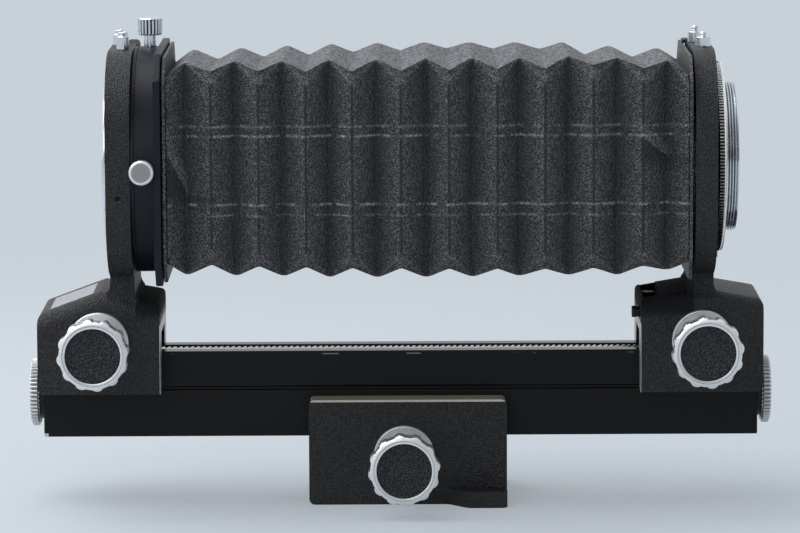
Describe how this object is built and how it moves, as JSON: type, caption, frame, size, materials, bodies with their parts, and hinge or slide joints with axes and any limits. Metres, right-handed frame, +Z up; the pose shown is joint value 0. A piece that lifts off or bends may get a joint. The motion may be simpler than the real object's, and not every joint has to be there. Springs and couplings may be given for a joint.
{
  "type": "macro bellows unit",
  "caption": "Macro bellows on a rack rail: pleated bellows between lens and camera standards with lobed focusing knobs, sliding through a tripod block.",
  "frame": {"origin": "middle of the tripod socket's mouth, in the underside of the tripod block", "axes": "+X along the rail towards the camera side, +Z up, and the focusing knobs at -Y"},
  "size_m": [0.2084, 0.0742, 0.1357],
  "materials": {
    "crackle_paint": "satin crackle",
    "black_anodised": "satin",
    "satin_silver": "satin, turned",
    "bright_chrome": "bright",
    "ground_steel": "ground",
    "bronze": "plain",
    "black_leather": "matt, worn on the ridges",
    "black_pebbled": "pebbled",
    "pale_plate": "fine satin",
    "dark_oxide": "oxide black"
  },
  "bodies": {
    "block": {"tripod_block": "crackle_paint", "tripod_bush": "ground_steel", "block_keeper": "ground_steel", "block_gib": "bronze", "block_knob_bush": "satin_silver"},
    "block knob and pinion": {"block_pinion": "ground_steel", "block_knob": "satin_silver", "block_knob_disc": "black_pebbled"},
    "block clamp knob": {"block_lock_knob": "satin_silver"},
    "rail": {"rail": "black_anodised", "top_rack": "ground_steel", "bottom_rack": "ground_steel", "rail_end_washers": "dark_oxide", "bellows": "black_leather"},
    "front end wheel": {"front_stop_wheel": "satin_silver"},
    "rear end wheel": {"rear_stop_wheel": "satin_silver"},
    "front standard": {"front_casting": "crackle_paint", "front_window": "pale_plate", "lens_mount_ring": "bright_chrome", "lens_mount_screws": "bright_chrome", "mount_grub_screw": "dark_oxide", "front_release_sockets": "bright_chrome", "front_shoes": "bronze", "front_gib": "bronze", "front_knob_bush": "satin_silver", "bellows_carriage": "black_anodised", "carriage_plate": "black_anodised", "bellows_front_frame": "black_leather"},
    "front knob and pinion": {"front_pinion": "ground_steel", "front_knob": "satin_silver", "front_knob_disc": "black_pebbled"},
    "front clamp knob": {"front_lock_knob": "satin_silver"},
    "carriage top screw": {"top_thumb_screw": "bright_chrome"},
    "carriage side screw": {"side_lock_screw": "satin_silver"},
    "rear standard": {"rear_casting": "crackle_paint", "bellows_rear_frame": "black_leather", "rear_shoes": "bronze", "rear_gib": "bronze", "rear_knob_bush": "satin_silver", "rear_release_barrels": "bright_chrome", "rear_stop_pin": "dark_oxide", "rear_corner_screw": "dark_oxide"},
    "rear knob and pinion": {"rear_pinion": "ground_steel", "rear_knob": "satin_silver", "rear_knob_disc": "black_pebbled"},
    "rear clamp knob": {"rear_lock_knob": "satin_silver"},
    "lock ring": {"knurled_lock_ring": "satin_silver"},
    "turning camera mount": {"camera_mount": "bright_chrome", "camera_mount_retainer": "ground_steel"},
    "near plunger": {"near_release_plunger": "bright_chrome"},
    "far plunger": {"far_release_plunger": "bright_chrome"}
  },
  "joints": [
    {"name": "rail_travel", "type": "slide", "parent": "block", "child": "rail", "axis": [1, 0, 0], "range_m": [-0.07, 0.074]},
    {"name": "block_knob_turn", "type": "hinge", "parent": "block", "child": "block knob and pinion", "pos_m": [0.0009, 0, 0.01405], "axis": [0, 1, 0], "range_deg": [-855, 903]},
    {"name": "block_clamp_turn", "type": "hinge", "parent": "block", "child": "block clamp knob", "pos_m": [0.002, 0, 0.0245], "axis": [0, 1, 0], "range_deg": [-90, 0]},
    {"name": "front_travel", "type": "slide", "parent": "rail", "child": "front standard", "axis": [1, 0, 0], "range_m": [0, 0.052], "deforming": ["bellows"]},
    {"name": "rear_travel", "type": "slide", "parent": "rail", "child": "rear standard", "axis": [1, 0, 0], "range_m": [-0.052, 0], "deforming": ["bellows"]},
    {"name": "front_knob_turn", "type": "hinge", "parent": "front standard", "child": "front knob and pinion", "pos_m": [-0.0841, 0, 0.0465], "axis": [0, 1, 0], "range_deg": [0, 634]},
    {"name": "rear_knob_turn", "type": "hinge", "parent": "rear standard", "child": "rear knob and pinion", "pos_m": [0.0841, 0, 0.0465], "axis": [0, 1, 0], "range_deg": [-634, 0]},
    {"name": "front_clamp_turn", "type": "hinge", "parent": "front standard", "child": "front clamp knob", "pos_m": [-0.0841, 0, 0.0376], "axis": [0, 1, 0], "range_deg": [-90, 0]},
    {"name": "rear_clamp_turn", "type": "hinge", "parent": "rear standard", "child": "rear clamp knob", "pos_m": [0.0841, 0, 0.0376], "axis": [0, 1, 0], "range_deg": [-90, 0]},
    {"name": "front_wheel_turn", "type": "hinge", "parent": "rail", "child": "front end wheel", "pos_m": [-0.1035, 0, 0.0298], "axis": [1, 0, 0], "continuous": true},
    {"name": "rear_wheel_turn", "type": "hinge", "parent": "rail", "child": "rear end wheel", "pos_m": [0.1035, 0, 0.0298], "axis": [1, 0, 0], "continuous": true},
    {"name": "top_screw_turn", "type": "hinge", "parent": "front standard", "child": "carriage top screw", "pos_m": [-0.0696, 0, 0.133], "axis": [0, 0, 1], "range_deg": [0, 360]},
    {"name": "side_screw_turn", "type": "hinge", "parent": "front standard", "child": "carriage side screw", "pos_m": [-0.0706, -0.033, 0.096], "axis": [0, 1, 0], "range_deg": [-360, 0]},
    {"name": "lock_ring_turn", "type": "hinge", "parent": "rear standard", "child": "lock ring", "pos_m": [0.089, 0, 0.096], "axis": [1, 0, 0], "range_deg": [-30, 15]},
    {"name": "camera_mount_turn", "type": "hinge", "parent": "rear standard", "child": "turning camera mount", "pos_m": [0.089, 0, 0.096], "axis": [1, 0, 0], "continuous": true},
    {"name": "near_plunger_press", "type": "slide", "parent": "rear standard", "child": "near plunger", "axis": [0, 0, -1], "range_m": [0, 0.0009], "stiffness_N_per_m": 300, "springref_m": -0.001},
    {"name": "far_plunger_press", "type": "slide", "parent": "rear standard", "child": "far plunger", "axis": [0, 0, -1], "range_m": [0, 0.0009], "stiffness_N_per_m": 300, "springref_m": -0.001}
  ],
  "couplings": [
    {"joint": "block_knob_turn", "follows": "rail_travel", "rad_per_m": 211.94},
    {"joint": "front_knob_turn", "follows": "front_travel", "rad_per_m": 211.94},
    {"joint": "rear_knob_turn", "follows": "rear_travel", "rad_per_m": 211.94}
  ]
}
